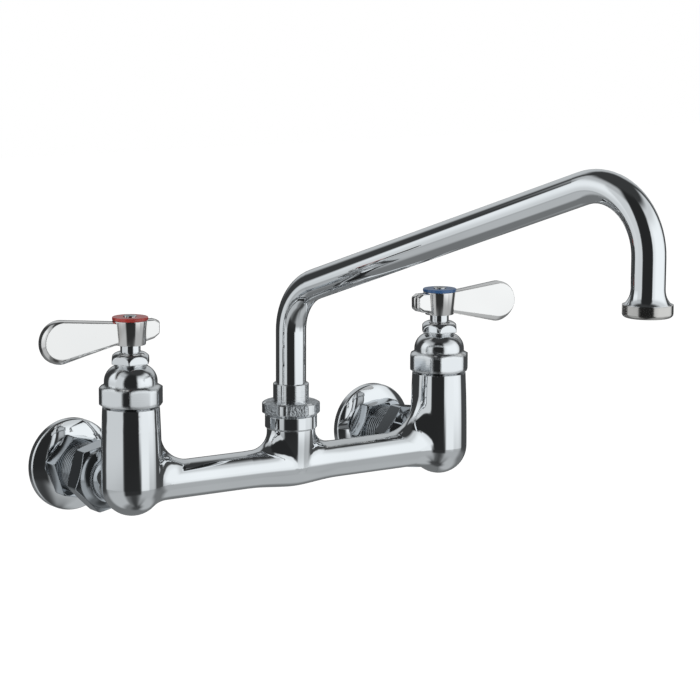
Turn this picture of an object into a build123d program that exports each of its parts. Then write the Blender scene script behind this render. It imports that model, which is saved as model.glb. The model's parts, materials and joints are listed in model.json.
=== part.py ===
from build123d import *

import os
from math import atan2, cos, degrees, radians, sin, tan

# Commercial wall faucet with two lever valves and a swinging spout. All sizes are in millimetres.
# Origin: on the wall plane, midway between the two inlets, at the height of the cross tube's axis.
# +Z is up, +Y points into the wall, +X points to the cold valve.
# Valve, spout and shank pieces are drawn on their own +Z axis and then put in place.

# ---------------------------------------------------------------- layout
inlet_centres = 203.2  # 8 inches, between the two inlets and between the two valve axes
wall_to_valves = 69.85  # 2 3/4 inches, from the wall plane to the valve axes and the spout post
spout_reach = 254.0  # 10 inches, from the spout post to the outlet axis
spout_swing = 9.4  # degrees, how far the spout stands swung towards the cold valve
outlet_height = 110.9  # outlet face above the cross tube's axis

# ---------------------------------------------------------------- fits
running_gap = 0.06  # radial, between a turning piece and the bore it turns in
thread_gap = 0.05  # radial, where a male thread sits in a female one
slip_gap = 0.15  # radial, where a fixed piece only slips over another
face_gap = 0.05  # between flat faces that turn on each other
disc_film = 0.02  # between the two lapped ceramic discs

# ---------------------------------------------------------------- body casting
tube_r = 10.4
tube_bore_r = 7.0
barrel_top_z = 42.5
barrel_top_r = 15.4
barrel_foot_r = 16.4  # also the radius of the rounded foot, centred on the tube's axis
barrel_blend_r = 20.0  # rolling fillet between barrel and tube
boss_r = 13.5
boss_foot_r = 12.8  # at the tube's axis, where the post stands just proud of the swell
boss_foot_round = 6.0  # tucks the post's foot into the tube's underside
tube_swell = 1.9  # how much the cross tube thickens under the post
tube_swell_reach = 30.0  # how far along the tube the swell fades out
boss_blend_r = 12.0
collar_r = 14.5
collar_low_z = 20.8
collar_top_z = 28.8
collar_edge = 0.8
neck_r = 12.4
neck_end = 27.0  # from the valve axis towards the wall
neck_bore_r = 7.5

# Waterways inside the casting.
chamber_r = 11.6
chamber_floor_z = 7.0
bonnet_step_z = 24.0
bonnet_thread_r = 13.2
seat_hole_r = 4.8
seat_wall = 3.5
inlet_pocket_r = 8.5
inlet_port_r = 5.5
outlet_port_r = 4.8
outlet_port_rise = 10.0  # how far the slanting port climbs from the tube into the chamber
outlet_port_run = 22.0

# ---------------------------------------------------------------- valve cartridge
seat_seal_height = 2.2
seat_seal_width = 3.2
disc_r = 8.6
disc_height = 3.2
disc_port_r = 6.2
disc_web = 2.4  # solid web between a disc's two fan-shaped ports
shell_wall = 1.5
shell_flange_r = 12.9
shell_flange_height = 2.4
shell_guide_z = 29.0  # underside of the guide that the stem turns in
shell_top_z = 36.0
shell_window_width = 8.0
shell_window_height = 6.0
gasket_height = 1.4
driver_height = 3.0  # foot of the stem that turns the upper disc
driver_key_width = 3.0
driver_key_height = 1.6
oring_width = 1.5
oring_depth = 1.0

# ---------------------------------------------------------------- bonnet and packing nut
bonnet_low_z = 43.0
bonnet_hex_flats = 32.2
bonnet_hex_corner_r = 17.2
bonnet_hex_top_z = 55.0
bonnet_hex_chamfer = 1.6
bonnet_dome_r = 14.3
bonnet_dome_start_z = 56.5
bonnet_dome_arc_r = 9.3
bonnet_neck_r = 8.4
bonnet_cavity_r = 9.5
bonnet_cavity_top_z = 55.3
bonnet_hex_turn = -131.5  # direction of one corner, in degrees from +X
packing_nut_low_z = 66.4
packing_nut_top_z = 72.6
packing_nut_flats = 19.3
packing_nut_corner_r = 11.0
packing_nut_dome_r = 5.6
packing_nut_lid = 2.0
packing_nut_turn = -123.5
gland_thread_r = 8.0
gland_thread_top_z = 70.2
packing_r = 6.8
packing_low_z = 64.6
packing_height = 4.2

# ---------------------------------------------------------------- stem and handle
stem_r = 5.4
stem_shoulder_z = 77.0
spline_r = 4.5
spline_depth = 0.5
spline_teeth = 16
spline_top_z = 86.2
spline_gap = 0.06
hub_low_r = 7.0
hub_top_r = 8.55
hub_top_z = 89.4
hub_edge = 0.8
socket_top_z = 86.6
ring_r = 9.6
ring_gap = 0.1  # between the index ring and the lever and tail below its overhang
ring_clearance = 0.4  # how far beyond the ring the lever's upper edge starts to climb
ring_height = 1.9
ring_edge = 0.5
screw_shank_r = 2.0
screw_length = 10.5
screw_head_r = 3.6
screw_head_height = 1.6
screw_head_recess = 0.8
screw_slot = 0.8
blade_thickness = 6.7
blade_edge = 3.0
blade_tip = 54.2  # from the valve axis
blade_root_low_z = 77.4
blade_low_slope = 13.1  # degrees, the lower edge falls towards the tip
blade_top_slope = 6.6  # degrees, the upper edge climbs towards the tip
blade_corner_r = 9.4
tail_thickness = 6.0
tail_edge = 1.5
tail_reach = 18.6
tail_nose = 3.4  # length of the sloping nose at the tail's end
tail_end_low_z = 80.9
tail_end_top_z = 86.5
tail_nose_low_z = 79.0
tail_nose_top_z = 88.6

# ---------------------------------------------------------------- union and wall end
coupling_low = 21.8  # all of these are distances from the valve axis towards the wall
coupling_high = 36.8
coupling_nose_r = 13.4  # flat front of the round nose
coupling_nose_foot_r = 17.3
coupling_nose = 3.6  # length of the round nose in front of the hexagon
coupling_nose_lean = 50.0  # degrees from the nut's end face, where the nose leaves the hexagon
coupling_flats = 35.4
coupling_corner_r = 20.1
coupling_wall = 3.0
coupling_turn = {"hot": 135.0, "cold": 112.0}  # direction of one corner in the XZ plane
union_thread_r = 14.3
clip_wire = 1.5
clip_gap_angle = 30.0
union_washer_height = 1.6
union_washer_r = 12.6
shank_hex_low = 52.8
shank_hex_high = 62.6
shank_hex_flats = 33.0
shank_hex_corner_r = 18.9
shank_hex_turn = {"hot": 108.0, "cold": 126.0}
shank_hex_chamfer = 0.5
shank_bore_r = 7.5
shank_tail_r = 14.2
pipe_thread_r = 9.13  # half-inch taper pipe thread, tapping size
pipe_thread_depth = 13.5
hex_chamfer = 1.6
flange_rim_r = 25.8
flange_front_r = 17.0
flange_wall = 2.0
flange_rim_height = 3.2
flange_shoulder_r = 25.1  # where the shallow dome turns down to the rim
flange_shoulder = 1.2  # height of that turn
flange_lean = 9.0  # degrees by which the dome falls away from the hexagon's back

# ---------------------------------------------------------------- spout
spout_r = 8.4
spout_wall = 1.2
slant_rise = 19.15  # degrees above level
slant_height = 96.3  # where the slanting part's axis would cross the post's axis
post_bend_r = 29.3
drop_bend_r = 31.9
flare_r = 11.6
flare_height = 7.2
socket_r = 9.0
socket_floor_z = 8.0
spout_thread_r = 12.4
spout_step_z = 20.5
sleeve_r = 9.95
sleeve_top_z = 46.2
sleeve_flange_r = 12.0
sleeve_flange_height = 2.0
sleeve_bore_r = 6.2
sleeve_groove_z = (11.8, 16.4)
tube_foot_z = 24.0
sleeve_chamfer = 0.5
thrust_washer_height = 0.8
spout_nut_top_z = 35.9
spout_nut_flats = 31.0
spout_nut_corner_r = 16.1
spout_nut_chamfer = 0.9
spout_nut_turn = -139.0

# ---------------------------------------------------------------- aerator
aerator_r = 12.4
aerator_height = 6.2
aerator_edge = 2.0
aerator_lip = 1.4
aerator_mouth_r = 8.3
aerator_thread_r = 10.3
aerator_washer_height = 1.0
insert_flange_r = 10.0
insert_flange_height = 1.0
insert_body_r = 8.0
insert_body_height = 6.0
insert_wall = 1.0
insert_hole_r = 0.95
insert_hole_pitch = 2.5
insert_hole_rings = 2
insert_plate = 1.5
insert_setback = 0.3  # the plate sits a little inside the outlet face
screen_height = 0.6

half_centres = inlet_centres / 2
SIDES = {"hot": -1, "cold": 1}


# ================================================================ helpers
def turned(*points):
    """A solid turned about Z from a closed outline of (radius, height) points."""
    return revolve(Plane.XZ * make_face(Polyline(*points, close=True)), Axis.Z)


def turned_edges(*edges):
    """A solid turned about Z from an outline of joined edges."""
    return revolve(Plane.XZ * make_face(Curve() + list(edges)), Axis.Z)


def rod(radius, low_z, high_z):
    return Pos(0, 0, low_z) * Cylinder(radius, high_z - low_z, align=(Align.CENTER, Align.CENTER, Align.MIN))


def ring(inner_r, outer_r, low_z, high_z):
    return turned((inner_r, low_z), (outer_r, low_z), (outer_r, high_z), (inner_r, high_z))


def hexagon(flats, low_z, high_z, corner_direction):
    """A hexagonal bar; corner_direction is the angle of one corner from +X."""
    outline = RegularPolygon(flats / 2, 6, major_radius=False, rotation=corner_direction)
    return Pos(0, 0, low_z) * extrude(outline, high_z - low_z)


def nut_blank(flats, corner_r, low_z, high_z, corner_direction, low_chamfer, high_chamfer):
    """A hexagon whose corners and ends are turned down on a lathe."""
    slope = tan(radians(60))
    limit = turned(
        (0, low_z),
        (corner_r - low_chamfer * slope, low_z),
        (corner_r, low_z + low_chamfer),
        (corner_r, high_z - high_chamfer),
        (corner_r - high_chamfer * slope, high_z),
        (0, high_z),
    )
    return hexagon(flats, low_z, high_z, corner_direction) & limit


def oring(inner_r, outer_r, z):
    wire_r = (outer_r - inner_r) / 2
    return Pos(0, 0, z) * Torus(inner_r + wire_r, wire_r)


def fan_ports(reach, web, low_z, high_z):
    """Two quarter-circle ports on opposite sides of a web, as in a ceramic disc."""
    quarter = rod(reach, low_z, high_z) & Pos(0, 0, low_z) * Box(
        reach, reach, high_z - low_z, align=(Align.MIN, Align.MIN, Align.MIN)
    )
    shift = Pos(web / 2, web / 2, 0)
    return shift * quarter + Rot(0, 0, 180) * shift * quarter


def on_valve(side, shape):
    return Pos(SIDES[side] * half_centres, -wall_to_valves, 0) * shape


def on_post(shape):
    return Pos(0, -wall_to_valves, 0) * shape


def towards_wall(side, shape):
    """Lays a shape drawn along +Z on the side's inlet axis, with its Z pointing at the wall."""
    return on_valve(side, Rot(-90, 0, 0) * shape)


# ================================================================ body casting
def barrel_blank():
    """Tapered barrel with a rounded foot centred on the cross tube's axis."""
    foot = CenterArc((0, 0), barrel_foot_r, -90, 90)
    side = TangentArc((barrel_foot_r, 0), (barrel_top_r, barrel_top_z), tangent=(0, 1))
    top = Line((barrel_top_r, barrel_top_z), (0, barrel_top_z))
    axis = Line((0, barrel_top_z), (0, -barrel_foot_r))
    return turned_edges(foot, side, top, axis)


def junction(shape, upright_x, upright_r):
    """The curved edges where the cross tube meets an upright of this radius that stands at upright_x."""
    curved = [edge for edge in shape.edges() if edge.geom_type == GeomType.BSPLINE]
    return [edge for edge in curved if abs(edge.center().X - upright_x) < upright_r]


def cross_tube():
    """The tube between the barrels, which swells under the post to carry the spout."""
    outline = turned_edges(
        Line((0, -half_centres), (tube_r, -half_centres)),
        Line((tube_r, -half_centres), (tube_r, -tube_swell_reach)),
        Spline(
            (tube_r, -tube_swell_reach),
            (tube_r + tube_swell, 0),
            (tube_r, tube_swell_reach),
            tangents=((0, 1), (0, 1)),
        ),
        Line((tube_r, tube_swell_reach), (tube_r, half_centres)),
        Line((tube_r, half_centres), (0, half_centres)),
        Line((0, half_centres), (0, -half_centres)),
    )
    return Rot(0, 90, 0) * outline


def tube_with_barrels():
    """Cross tube and both barrels, with the rolling blend at each barrel."""
    body = cross_tube()
    for direction in SIDES.values():
        facing = Rot(0, 0, 0 if direction > 0 else 180)
        body += Pos(direction * half_centres, 0, 0) * facing * barrel_blank()
    for direction in SIDES.values():
        body = fillet(junction(body, direction * half_centres, barrel_foot_r), barrel_blend_r)
    return body


def outlet_port(direction):
    """Slanting port from the cross tube up into a valve's chamber; direction is +1 or -1 along X."""
    near_x = chamber_r - outlet_port_r / 2
    high_z = chamber_floor_z + outlet_port_r
    run = outlet_port_run * direction
    tilt = degrees(atan2(run, -outlet_port_rise))
    length = (outlet_port_run**2 + outlet_port_rise**2) ** 0.5
    bore = Rot(0, tilt, 0) * rod(outlet_port_r, 0, length)
    return Pos(near_x * direction, 0, high_z) * bore


def valve_cavity(inward):
    """Everything cut out of one barrel: thread, chamber, seat hole, inlet pocket and ports."""
    cavity = rod(bonnet_thread_r + thread_gap, bonnet_step_z, barrel_top_z + 1)
    cavity += rod(chamber_r, chamber_floor_z, bonnet_step_z)
    cavity += rod(seat_hole_r, 0, chamber_floor_z)
    pocket_z = chamber_floor_z - seat_wall - inlet_pocket_r
    cavity += Pos(0, 0, pocket_z) * Sphere(inlet_pocket_r)
    cavity += Rot(-90, 0, 0) * rod(neck_bore_r, barrel_foot_r - 1, neck_end + 1)
    cavity += Pos(0, 0, pocket_z / 2) * Rot(-90, 0, 0) * rod(inlet_port_r, 0, barrel_foot_r)
    return cavity + outlet_port(inward)


def neck_blank():
    """Rear neck, with the groove that the union clip snaps into."""
    clip_low = coupling_low + coupling_wall
    groove = ring(neck_r - clip_wire / 2, neck_r + 1, clip_low, clip_low + clip_wire)
    return Rot(-90, 0, 0) * (rod(neck_r, 0, neck_end) - groove)


def boss_blank():
    """Upright under the spout, slightly wider at the collar than at its rounded foot."""
    foot_flat_r = boss_foot_r - boss_foot_round
    blank = turned_edges(
        Line((0, -boss_foot_round), (foot_flat_r, -boss_foot_round)),
        CenterArc((foot_flat_r, 0), boss_foot_round, -90, 90),
        Spline((boss_foot_r, 0), (boss_r, collar_low_z), tangents=((0, 1), (0, 1))),
        Line((boss_r, collar_low_z), (0, collar_low_z)),
        Line((0, collar_low_z), (0, -boss_foot_round)),
    )
    return Rot(0, 0, -90) * blank  # the outline starts in front, clear of the tube


def body_casting():
    body = tube_with_barrels() + boss_blank()
    body = fillet(junction(body, 0, boss_r), boss_blend_r)
    for direction in SIDES.values():
        body += Pos(direction * half_centres, 0, 0) * neck_blank()
    collar = ring(0, collar_r, collar_low_z, collar_top_z)
    body += chamfer(collar.edges(), collar_edge)
    for direction in SIDES.values():
        body -= Pos(direction * half_centres, 0, 0) * valve_cavity(-direction)
    port_end = half_centres - chamber_r - outlet_port_run + outlet_port_r
    body -= Rot(0, 90, 0) * Cylinder(tube_bore_r, 2 * port_end)
    body -= rod(tube_bore_r, 0, socket_floor_z)
    body -= rod(socket_r, socket_floor_z, spout_step_z)
    body -= rod(spout_thread_r + thread_gap, spout_step_z, collar_top_z + 1)
    return on_post(body)


# ================================================================ valve pieces
seat_top_z = chamber_floor_z + seat_seal_height
fixed_disc_top_z = seat_top_z + disc_height
moving_disc_low_z = fixed_disc_top_z + disc_film
moving_disc_top_z = moving_disc_low_z + disc_height
driver_low_z = moving_disc_top_z + disc_film
flange_low_z = bonnet_step_z + gasket_height
flange_top_z = flange_low_z + shell_flange_height
oring_z = (shell_guide_z + shell_top_z) / 2
screw_seat_z = hub_top_z + ring_height - screw_head_recess
root_top_z = hub_top_z - ring_gap


def seat_seal():
    return ring(seat_hole_r, seat_hole_r + seat_seal_width, chamber_floor_z, seat_top_z)


def fixed_disc():
    disc = rod(disc_r, seat_top_z, fixed_disc_top_z)
    return disc - fan_ports(disc_port_r, disc_web, seat_top_z, fixed_disc_top_z)


def moving_disc():
    """Upper disc, turned shut over the lower one's ports, with a slot for the stem's key."""
    disc = rod(disc_r - running_gap, moving_disc_low_z, moving_disc_top_z)
    ports = fan_ports(disc_port_r, disc_web, moving_disc_low_z, moving_disc_top_z)
    slot = Pos(0, 0, moving_disc_top_z) * Box(2 * disc_r, driver_key_width, 2 * driver_key_height)
    return disc - Rot(0, 0, 90) * ports - Rot(0, 0, 45) * slot


def cartridge_shell():
    """Brass sleeve: holds the discs, lets water out of two windows, and guides the stem."""
    outer_r = disc_r + slip_gap + shell_wall
    shell = rod(outer_r, seat_top_z, shell_top_z)
    shell += rod(shell_flange_r, flange_low_z, flange_top_z)
    shell -= rod(disc_r + slip_gap, seat_top_z, shell_guide_z)
    shell -= rod(stem_r + running_gap, shell_guide_z, shell_top_z)
    window = Pos(0, 0, driver_low_z) * Box(
        4 * disc_r, shell_window_width, shell_window_height, align=(Align.CENTER, Align.CENTER, Align.MIN)
    )
    return shell - window


def bonnet_gasket():
    inner_r = disc_r + slip_gap + shell_wall
    return ring(inner_r + slip_gap, shell_flange_r, bonnet_step_z, flange_low_z)


def stem():
    """Turned spindle with a keyed foot, an O-ring groove and a splined head for the handle."""
    foot_r = disc_r - 1
    groove_r = stem_r - oring_depth
    body = rod(foot_r, driver_low_z, driver_low_z + driver_height)
    body += rod(stem_r, driver_low_z, stem_shoulder_z)
    body -= ring(groove_r, stem_r + 1, oring_z - oring_width / 2, oring_z + oring_width / 2)
    key = Pos(0, 0, driver_low_z - driver_key_height / 2) * Box(
        2 * foot_r, driver_key_width - 2 * spline_gap, driver_key_height
    )
    body += Rot(0, 0, 45) * key & rod(foot_r, 0, driver_low_z)
    body += spline(0, stem_shoulder_z, spline_top_z)
    screw_foot_z = screw_seat_z - screw_length
    return body - rod(screw_shank_r + thread_gap, screw_foot_z - 2 * screw_shank_r, spline_top_z)


def spline(gap, low_z, high_z):
    """Toothed bar of the stem's head; a gap widens it into the handle's socket."""
    core_r = spline_r - spline_depth + gap
    tip_r = spline_r + gap
    half_pitch = radians(180 / spline_teeth)
    outline = []
    for tooth in range(spline_teeth):
        middle = 2 * half_pitch * tooth
        outline.append((tip_r * cos(middle), tip_r * sin(middle)))
        outline.append((core_r * cos(middle + half_pitch), core_r * sin(middle + half_pitch)))
    return Pos(0, 0, low_z) * extrude(make_face(Polyline(*outline, close=True)), high_z - low_z)


def stem_oring():
    return oring(stem_r - oring_depth, stem_r, oring_z)


def bonnet():
    """Hexagon, round shoulder and neck in one piece, hollow over the cartridge."""
    arc_centre_r = bonnet_dome_r - bonnet_dome_arc_r
    reach = bonnet_neck_r - arc_centre_r
    dome_end_z = bonnet_dome_start_z + (bonnet_dome_arc_r**2 - reach**2) ** 0.5
    shoulder = turned_edges(
        Line((0, bonnet_hex_top_z), (bonnet_dome_r, bonnet_hex_top_z)),
        Line((bonnet_dome_r, bonnet_hex_top_z), (bonnet_dome_r, bonnet_dome_start_z)),
        TangentArc((bonnet_dome_r, bonnet_dome_start_z), (bonnet_neck_r, dome_end_z), tangent=(0, 1)),
        Line((bonnet_neck_r, dome_end_z), (bonnet_neck_r, packing_nut_low_z)),
        Line((bonnet_neck_r, packing_nut_low_z), (0, packing_nut_low_z)),
        Line((0, packing_nut_low_z), (0, bonnet_hex_top_z)),
    )
    body = shoulder + rod(gland_thread_r, packing_nut_low_z, gland_thread_top_z)
    body += nut_blank(
        bonnet_hex_flats,
        bonnet_hex_corner_r,
        bonnet_low_z,
        bonnet_hex_top_z,
        bonnet_hex_turn,
        bonnet_hex_chamfer,
        bonnet_hex_chamfer,
    )
    body += rod(bonnet_thread_r, flange_top_z, bonnet_low_z)
    outer_shell_r = disc_r + slip_gap + shell_wall
    body -= rod(outer_shell_r + slip_gap, flange_top_z, shell_top_z + slip_gap)
    body -= rod(bonnet_cavity_r, shell_top_z, bonnet_cavity_top_z)
    body -= rod(stem_r + running_gap, bonnet_cavity_top_z, packing_low_z)
    return body - rod(packing_r, packing_low_z, gland_thread_top_z)


def gland_packing():
    return ring(stem_r + running_gap, packing_r, packing_low_z, packing_low_z + packing_height)


def packing_nut():
    """Domed hexagon with a nose inside that squeezes the packing."""
    dome_centre = (packing_nut_corner_r - packing_nut_dome_r, packing_nut_top_z - packing_nut_dome_r)
    limit = turned_edges(
        Line((0, packing_nut_low_z), (packing_nut_corner_r, packing_nut_low_z)),
        Line((packing_nut_corner_r, packing_nut_low_z), (packing_nut_corner_r, dome_centre[1])),
        CenterArc(dome_centre, packing_nut_dome_r, 0, 90),
        Line((dome_centre[0], packing_nut_top_z), (0, packing_nut_top_z)),
        Line((0, packing_nut_top_z), (0, packing_nut_low_z)),
    )
    nut = hexagon(packing_nut_flats, packing_nut_low_z, packing_nut_top_z, packing_nut_turn) & limit
    lid_z = packing_nut_top_z - packing_nut_lid
    nut -= rod(gland_thread_r + thread_gap, packing_nut_low_z, lid_z)
    nut += rod(packing_r - slip_gap, packing_low_z + packing_height, lid_z)
    return nut - rod(stem_r + running_gap, packing_low_z, packing_nut_top_z)


# ================================================================ handle
def paddle(outline, corner_r, rounded_from, thickness, edge_r):
    """Flat bar cut to an outline in X and Z, with its far corners and then its rims rounded."""
    face = make_face(Polyline(*outline, close=True))
    if corner_r:
        face = fillet([v for v in face.vertices() if abs(v.X) > rounded_from], corner_r)
    bar = extrude(Plane.XZ * face, thickness / 2, both=True)
    rims = [edge for edge in bar.edges() if abs(edge.center().Y) > thickness / 2 - 0.01]
    return fillet([edge for edge in rims if abs(edge.center().X) > 1], edge_r)


def lever_blade():
    """The lever widens from the hub to its rounded end."""
    climb_start = ring_r + ring_clearance
    fall = (blade_tip - hub_low_r) * tan(radians(blade_low_slope))
    climb = (blade_tip - climb_start) * tan(radians(blade_top_slope))
    outline = [
        (0, blade_root_low_z),
        (hub_low_r, blade_root_low_z),
        (blade_tip, blade_root_low_z - fall),
        (blade_tip, root_top_z + climb),
        (climb_start, root_top_z),
        (0, root_top_z),
    ]
    return paddle(outline, blade_corner_r, hub_top_r, blade_thickness, blade_edge)


def handle_tail():
    """Short stub opposite the lever."""
    outline = [
        (0, blade_root_low_z),
        (-hub_low_r, blade_root_low_z),
        (tail_nose - tail_reach, tail_nose_low_z),
        (-tail_reach, tail_end_low_z),
        (-tail_reach, tail_end_top_z),
        (tail_nose - tail_reach, tail_nose_top_z),
        (-ring_r, root_top_z),
        (0, root_top_z),
    ]
    return paddle(outline, 0, 0, tail_thickness, tail_edge)


def handle(turn):
    hub = turned((0, stem_shoulder_z), (hub_low_r, stem_shoulder_z), (hub_top_r, hub_top_z), (0, hub_top_z))
    low_edge = hub.edges().sort_by(Axis.Z)[0]
    hub = fillet(low_edge, hub_edge)
    body = hub + lever_blade() + handle_tail()
    body -= spline(spline_gap, stem_shoulder_z, socket_top_z)
    body -= rod(screw_shank_r + slip_gap, socket_top_z, hub_top_z)
    return Rot(0, 0, turn) * body


def index_ring():
    top_z = hub_top_z + ring_height
    body = rod(ring_r, hub_top_z, top_z)
    body = fillet(body.edges().filter_by(GeomType.CIRCLE), ring_edge)
    body -= rod(screw_shank_r + slip_gap, hub_top_z, top_z)
    return body - rod(screw_head_r + slip_gap, top_z - screw_head_recess, top_z)


def handle_screw():
    top_z = screw_seat_z + screw_head_height
    head = rod(screw_head_r, screw_seat_z, top_z)
    head = fillet(head.edges().sort_by(Axis.Z)[-1], screw_head_height / 2)
    slot = Pos(0, 0, top_z) * Box(2 * screw_head_r, screw_slot, screw_slot * 2)
    return head + rod(screw_shank_r, screw_seat_z - screw_length, screw_seat_z) - Rot(0, 0, 30) * slot


# ================================================================ union and wall end
def coupling_nut(side):
    """Union nut: its front wall pulls on the clip, its thread takes the shank."""
    hex_low = coupling_low + coupling_nose
    lean = radians(coupling_nose_lean)
    nut = turned_edges(
        Line((0, hex_low), (coupling_nose_foot_r, hex_low)),
        TangentArc((coupling_nose_foot_r, hex_low), (coupling_nose_r, coupling_low), tangent=(-cos(lean), -sin(lean))),
        Line((coupling_nose_r, coupling_low), (0, coupling_low)),
        Line((0, coupling_low), (0, hex_low)),
    )
    nut += nut_blank(
        coupling_flats,
        coupling_corner_r,
        hex_low,
        coupling_high,
        -coupling_turn[side],
        hex_chamfer,
        hex_chamfer / 2,
    )
    nut -= rod(neck_r + slip_gap, coupling_low, coupling_low + coupling_wall)
    return nut - rod(union_thread_r + thread_gap, coupling_low + coupling_wall, coupling_high)


def union_clip():
    """Split ring in the neck's groove."""
    low = coupling_low + coupling_wall
    body = ring(neck_r - clip_wire / 2, union_thread_r - slip_gap, low, low + clip_wire)
    reach = 2 * union_thread_r
    half_gap = reach * tan(radians(clip_gap_angle / 2))
    gap = Polyline((0, 0), (reach, -half_gap), (reach, half_gap), close=True)
    return body - Pos(0, 0, low) * extrude(make_face(gap), clip_wire)


def union_washer():
    return ring(neck_bore_r, union_washer_r, neck_end, neck_end + union_washer_height)


def inlet_shank(side):
    """Union thread, hexagon and tail in one piece, with the supply pipe's thread in its back."""
    front = neck_end + union_washer_height
    body = rod(union_thread_r, front, shank_hex_low)
    body = chamfer(body.edges().sort_by(Axis.Z)[0], hex_chamfer / 2)
    body += nut_blank(
        shank_hex_flats,
        shank_hex_corner_r,
        shank_hex_low,
        shank_hex_high,
        -shank_hex_turn[side],
        shank_hex_chamfer,
        shank_hex_chamfer,
    )
    body += rod(shank_tail_r, shank_hex_high, wall_to_valves)
    body -= rod(shank_bore_r, front, wall_to_valves)
    return body - rod(pipe_thread_r, wall_to_valves - pipe_thread_depth, wall_to_valves)


def wall_flange():
    """Domed shell over the shank's tail, with its rim on the wall."""
    hole_r = shank_tail_r + slip_gap
    front = shank_hex_high
    back = front + flange_wall
    rim = wall_to_valves - flange_rim_height
    inner_rim_r = flange_rim_r - flange_wall
    fall = (cos(radians(flange_lean)), sin(radians(flange_lean)))
    shoulder = rim - flange_shoulder
    dome = TangentArc((flange_front_r, front), (flange_shoulder_r, shoulder), tangent=fall)
    return turned_edges(
        Line((hole_r, front), (flange_front_r, front)),
        dome,
        TangentArc((flange_shoulder_r, shoulder), (flange_rim_r, rim), tangent=dome % 1),
        Line((flange_rim_r, rim), (flange_rim_r, wall_to_valves)),
        Line((flange_rim_r, wall_to_valves), (inner_rim_r, wall_to_valves)),
        Line((inner_rim_r, wall_to_valves), (inner_rim_r, rim)),
        TangentArc((flange_front_r, back), (inner_rim_r, rim), tangent=fall),
        Line((flange_front_r, back), (hole_r, back)),
        Line((hole_r, back), (hole_r, front)),
    )


# ================================================================ spout
SPOUT_PLANE = Plane(origin=(0, 0, 0), x_dir=(0, -1, 0), z_dir=(-1, 0, 0))  # distance from the post, height
aerator_top_z = outlet_height + aerator_height
flare_top_z = aerator_top_z + flare_height
insert_flange_low_z = outlet_height + aerator_lip
washer_low_z = insert_flange_low_z + insert_flange_height
spigot_end_z = washer_low_z + aerator_washer_height
insert_top_z = washer_low_z + insert_body_height
flange_foot_z = spout_step_z + face_gap
flange_head_z = flange_foot_z + sleeve_flange_height
nut_foot_z = flange_head_z + face_gap + thrust_washer_height


def on_spout(shape):
    """Swings a shape about the post with the spout."""
    return Rot(0, 0, spout_swing) * shape


def on_outlet(shape):
    return on_spout(Pos(0, -spout_reach, 0) * shape)


def tube_run():
    """Straight runs and two bends: up the post, out on the slant, down to the flare."""
    far_z = slant_height + spout_reach * tan(radians(slant_rise))
    corners = [(0, tube_foot_z), (0, slant_height), (spout_reach, far_z), (spout_reach, flare_top_z)]
    return SPOUT_PLANE * FilletPolyline(*corners, radius=[post_bend_r, drop_bend_r])


def flared_end():
    """Bell at the outlet, with the aerator's male thread below it."""
    bore_r = insert_body_r + slip_gap
    return turned_edges(
        Line((spout_r - spout_wall, flare_top_z), (spout_r, flare_top_z)),
        TangentArc((spout_r, flare_top_z), (flare_r, aerator_top_z), tangent=(0, -1)),
        Line((flare_r, aerator_top_z), (aerator_thread_r, aerator_top_z)),
        Line((aerator_thread_r, aerator_top_z), (aerator_thread_r, spigot_end_z)),
        Line((aerator_thread_r, spigot_end_z), (bore_r, spigot_end_z)),
        Line((bore_r, spigot_end_z), (bore_r, insert_top_z + screen_height)),
        Line((bore_r, insert_top_z + screen_height), (spout_r - spout_wall, flare_top_z)),
    )


def spout_tube():
    section = Circle(spout_r) - Circle(spout_r - spout_wall)
    tube = sweep(Pos(0, 0, tube_foot_z) * section, path=tube_run())
    return on_spout(tube) + on_outlet(flared_end())


def spout_sleeve():
    """Brazed round the tube's foot: collar above, retaining flange, and a plug with two grooves."""
    plug_r = socket_r - running_gap
    body = rod(plug_r, socket_floor_z + 1, flange_foot_z)
    body += rod(sleeve_flange_r, flange_foot_z, flange_head_z)
    body += rod(sleeve_r, flange_head_z, sleeve_top_z)
    body = chamfer(body.edges().sort_by(Axis.Z)[-1], sleeve_chamfer)
    body -= rod(spout_r, tube_foot_z, sleeve_top_z)
    body -= rod(sleeve_bore_r, socket_floor_z, tube_foot_z)
    for groove_z in sleeve_groove_z:
        low = groove_z - oring_width / 2
        body -= ring(plug_r - oring_depth, plug_r + 1, low, low + oring_width)
    return body


def spout_oring(groove_z):
    plug_r = socket_r - running_gap
    return oring(plug_r - oring_depth, plug_r, groove_z)


def thrust_washer():
    low = flange_head_z + face_gap
    return ring(sleeve_r + slip_gap, sleeve_flange_r, low, low + thrust_washer_height)


def spout_nut():
    """Hexagon with wide turned corners, and a threaded skirt that goes down into the collar."""
    nut = nut_blank(
        spout_nut_flats,
        spout_nut_corner_r,
        collar_top_z + slip_gap,
        spout_nut_top_z,
        spout_nut_turn,
        spout_nut_chamfer,
        spout_nut_chamfer,
    )
    nut += rod(spout_thread_r, nut_foot_z, collar_top_z + slip_gap)
    return nut - rod(sleeve_r + slip_gap, nut_foot_z, spout_nut_top_z)


# ================================================================ aerator
def aerator_housing():
    body = rod(aerator_r, outlet_height, aerator_top_z)
    body = fillet(body.edges().sort_by(Axis.Z)[0], aerator_edge)
    body -= rod(aerator_mouth_r, outlet_height, insert_flange_low_z)
    return body - rod(aerator_thread_r + thread_gap, insert_flange_low_z, aerator_top_z)


def honeycomb(pitch, rings):
    """Centres of a hexagonal pattern with this many rings round the middle one."""
    centres = []
    for column in range(-rings, rings + 1):
        for row in range(max(-rings, -column - rings), min(rings, rings - column) + 1):
            centres.append((pitch * (column + row / 2), pitch * row * sin(radians(60))))
    return centres


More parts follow.
